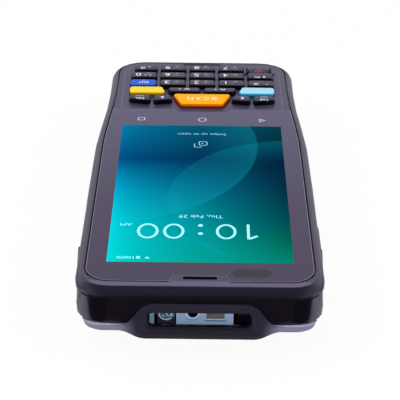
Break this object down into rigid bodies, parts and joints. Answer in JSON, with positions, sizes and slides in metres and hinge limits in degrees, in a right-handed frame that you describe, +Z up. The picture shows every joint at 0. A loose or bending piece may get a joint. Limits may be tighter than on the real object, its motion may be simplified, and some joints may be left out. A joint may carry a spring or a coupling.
{
  "type": "portable barcode data terminal",
  "caption": "Handheld data terminal with a colour touch screen, a sprung keypad, a scan window in its end face, side triggers, a hinged battery cover and a port flap.",
  "frame": {"origin": "middle of the terminal's outline on the surface it lies on, with the glass up", "axes": "+X across the terminal, to the right of someone who looks from the scanner end; +Y along it, from the scanner end to the keypad end; +Z up, out of the glass"},
  "size_m": [0.0704, 0.1554, 0.0241],
  "materials": {
    "housing_plastic": "fine spark-eroded grain, matte",
    "front_plastic": "fine grain, satin",
    "panel_plastic": "smooth, satin",
    "cover_plastic": "fine grain, matte",
    "key_plastic": "satin, printed legends",
    "scan_key_plastic": "satin amber",
    "trigger_plastic": "satin orange",
    "yellow_key_plastic": "satin yellow",
    "cyan_key_plastic": "satin light blue",
    "blue_key_plastic": "satin blue",
    "screen_glass": "polished, printed black border",
    "window_glass": "polished, tinted",
    "lens_glass": "polished",
    "surround_plastic": "gloss black",
    "bumper_rubber": "matte",
    "dark_rubber": "matte",
    "screen_module": "lit display",
    "frame_metal": "cast, bead blasted",
    "board_laminate": "green solder mask",
    "shield_metal": "tinned, matte",
    "engine_plastic": "pale moulded chassis",
    "lamp_plastic": "clear moulded lens",
    "black_plastic": "matte black",
    "contact_metal": "gold plated",
    "flex_film": "polyimide film",
    "motor_steel": "bright",
    "battery_wrap": "matte wrap"
  },
  "bodies": {
    "root": {"rear_housing": "housing_plastic", "front_housing": "front_plastic", "keypad_panel": "panel_plastic", "touch_glass": "screen_glass", "display_gasket": "dark_rubber", "lcd_module": "screen_module", "inner_frame": "frame_metal", "main_board": "board_laminate", "shield_cans": "shield_metal", "card_slot": "shield_metal", "side_switches": "black_plastic", "antenna_flex": "flex_film", "key_mat": "dark_rubber", "keypad_board": "board_laminate", "scan_engine": "engine_plastic", "scan_lens": "lens_glass", "scan_led": "lamp_plastic", "scan_window": "window_glass", "scan_surround": "surround_plastic", "earpiece": "shield_metal", "earpiece_mesh": "black_plastic", "corner_bumpers": "bumper_rubber", "loudspeaker": "black_plastic", "vibration_motor": "motor_steel", "usb_connector": "shield_metal", "dock_contacts": "contact_metal", "battery_pack": "battery_wrap", "battery_contacts": "contact_metal", "housing_screws": "motor_steel"},
    "battery_cover": {"battery_cover": "cover_plastic"},
    "battery_latch": {"battery_latch": "cover_plastic"},
    "usb_flap": {"usb_flap": "dark_rubber"},
    "trigger_left": {"trigger_left": "trigger_plastic"},
    "trigger_right": {"trigger_right": "trigger_plastic"},
    "volume_rocker": {"volume_rocker": "front_plastic"},
    "key_hash": {"key_hash": "key_plastic"},
    "key_9": {"key_9": "key_plastic"},
    "key_8": {"key_8": "key_plastic"},
    "key_7": {"key_7": "key_plastic"},
    "key_power": {"key_power": "key_plastic"},
    "key_0": {"key_0": "key_plastic"},
    "key_6": {"key_6": "key_plastic"},
    "key_5": {"key_5": "key_plastic"},
    "key_4": {"key_4": "key_plastic"},
    "key_function": {"key_function": "key_plastic"},
    "key_enter": {"key_enter": "blue_key_plastic"},
    "key_3": {"key_3": "key_plastic"},
    "key_2": {"key_2": "key_plastic"},
    "key_1": {"key_1": "key_plastic"},
    "key_star": {"key_star": "key_plastic"},
    "key_yellow": {"key_yellow": "yellow_key_plastic"},
    "key_down": {"key_down": "key_plastic"},
    "key_up": {"key_up": "key_plastic"},
    "key_cyan": {"key_cyan": "cyan_key_plastic"},
    "key_delete": {"key_delete": "key_plastic"},
    "key_right": {"key_right": "key_plastic"},
    "key_scan": {"key_scan": "scan_key_plastic"},
    "key_left": {"key_left": "key_plastic"},
    "key_tab": {"key_tab": "key_plastic"}
  },
  "joints": [
    {"name": "key_hash_press", "type": "slide", "parent": "root", "child": "key_hash", "axis": [0, 0, -1], "range_m": [0, 0.0008], "stiffness_N_per_m": 300, "springref_m": -0.002},
    {"name": "key_9_press", "type": "slide", "parent": "root", "child": "key_9", "axis": [0, 0, -1], "range_m": [0, 0.0008], "stiffness_N_per_m": 300, "springref_m": -0.002},
    {"name": "key_8_press", "type": "slide", "parent": "root", "child": "key_8", "axis": [0, 0, -1], "range_m": [0, 0.0008], "stiffness_N_per_m": 300, "springref_m": -0.002},
    {"name": "key_7_press", "type": "slide", "parent": "root", "child": "key_7", "axis": [0, 0, -1], "range_m": [0, 0.0008], "stiffness_N_per_m": 300, "springref_m": -0.002},
    {"name": "key_power_press", "type": "slide", "parent": "root", "child": "key_power", "axis": [0, 0, -1], "range_m": [0, 0.0008], "stiffness_N_per_m": 300, "springref_m": -0.002},
    {"name": "key_0_press", "type": "slide", "parent": "root", "child": "key_0", "axis": [0, 0, -1], "range_m": [0, 0.0008], "stiffness_N_per_m": 300, "springref_m": -0.002},
    {"name": "key_6_press", "type": "slide", "parent": "root", "child": "key_6", "axis": [0, 0, -1], "range_m": [0, 0.0008], "stiffness_N_per_m": 300, "springref_m": -0.002},
    {"name": "key_5_press", "type": "slide", "parent": "root", "child": "key_5", "axis": [0, 0, -1], "range_m": [0, 0.0008], "stiffness_N_per_m": 300, "springref_m": -0.002},
    {"name": "key_4_press", "type": "slide", "parent": "root", "child": "key_4", "axis": [0, 0, -1], "range_m": [0, 0.0008], "stiffness_N_per_m": 300, "springref_m": -0.002},
    {"name": "key_function_press", "type": "slide", "parent": "root", "child": "key_function", "axis": [0, 0, -1], "range_m": [0, 0.0008], "stiffness_N_per_m": 300, "springref_m": -0.002},
    {"name": "key_enter_press", "type": "slide", "parent": "root", "child": "key_enter", "axis": [0, 0, -1], "range_m": [0, 0.0008], "stiffness_N_per_m": 300, "springref_m": -0.002},
    {"name": "key_3_press", "type": "slide", "parent": "root", "child": "key_3", "axis": [0, 0, -1], "range_m": [0, 0.0008], "stiffness_N_per_m": 300, "springref_m": -0.002},
    {"name": "key_2_press", "type": "slide", "parent": "root", "child": "key_2", "axis": [0, 0, -1], "range_m": [0, 0.0008], "stiffness_N_per_m": 300, "springref_m": -0.002},
    {"name": "key_1_press", "type": "slide", "parent": "root", "child": "key_1", "axis": [0, 0, -1], "range_m": [0, 0.0008], "stiffness_N_per_m": 300, "springref_m": -0.002},
    {"name": "key_star_press", "type": "slide", "parent": "root", "child": "key_star", "axis": [0, 0, -1], "range_m": [0, 0.0008], "stiffness_N_per_m": 300, "springref_m": -0.002},
    {"name": "key_yellow_press", "type": "slide", "parent": "root", "child": "key_yellow", "axis": [0, 0, -1], "range_m": [0, 0.0008], "stiffness_N_per_m": 300, "springref_m": -0.002},
    {"name": "key_down_press", "type": "slide", "parent": "root", "child": "key_down", "axis": [0, 0, -1], "range_m": [0, 0.0008], "stiffness_N_per_m": 300, "springref_m": -0.002},
    {"name": "key_up_press", "type": "slide", "parent": "root", "child": "key_up", "axis": [0, 0, -1], "range_m": [0, 0.0008], "stiffness_N_per_m": 300, "springref_m": -0.002},
    {"name": "key_cyan_press", "type": "slide", "parent": "root", "child": "key_cyan", "axis": [0, 0, -1], "range_m": [0, 0.0008], "stiffness_N_per_m": 300, "springref_m": -0.002},
    {"name": "key_delete_press", "type": "slide", "parent": "root", "child": "key_delete", "axis": [0, 0, -1], "range_m": [0, 0.0008], "stiffness_N_per_m": 300, "springref_m": -0.002},
    {"name": "key_right_press", "type": "slide", "parent": "root", "child": "key_right", "axis": [0, 0, -1], "range_m": [0, 0.0008], "stiffness_N_per_m": 300, "springref_m": -0.002},
    {"name": "key_scan_press", "type": "slide", "parent": "root", "child": "key_scan", "axis": [0, 0, -1], "range_m": [0, 0.0008], "stiffness_N_per_m": 300, "springref_m": -0.002},
    {"name": "key_left_press", "type": "slide", "parent": "root", "child": "key_left", "axis": [0, 0, -1], "range_m": [0, 0.0008], "stiffness_N_per_m": 300, "springref_m": -0.002},
    {"name": "key_tab_press", "type": "slide", "parent": "root", "child": "key_tab", "axis": [0, 0, -1], "range_m": [0, 0.0008], "stiffness_N_per_m": 300, "springref_m": -0.002},
    {"name": "trigger_left_press", "type": "slide", "parent": "root", "child": "trigger_left", "axis": [1, 0, 0], "range_m": [0, 0.0008], "stiffness_N_per_m": 500, "springref_m": -0.002},
    {"name": "trigger_right_press", "type": "slide", "parent": "root", "child": "trigger_right", "axis": [-1, 0, 0], "range_m": [0, 0.0008], "stiffness_N_per_m": 500, "springref_m": -0.002},
    {"name": "volume_rocker_tilt", "type": "hinge", "parent": "root", "child": "volume_rocker", "pos_m": [0.0336, -0.0369, 0.0145], "axis": [0, 0, 1], "range_deg": [-2.5, 2.5], "stiffness_Nm_per_rad": 0.02},
    {"name": "battery_cover_hinge", "type": "hinge", "parent": "root", "child": "battery_cover", "pos_m": [0, -0.00625, 0.001], "axis": [-1, 0, 0], "range_deg": [0, 75]},
    {"name": "battery_latch_slide", "type": "slide", "parent": "battery_cover", "child": "battery_latch", "axis": [0, -1, 0], "range_m": [0, 0.0014]},
    {"name": "usb_flap_hinge", "type": "hinge", "parent": "root", "child": "usb_flap", "pos_m": [0, 0.07725, 0.0053], "axis": [-1, 0, 0], "range_deg": [0, 110]}
  ]
}
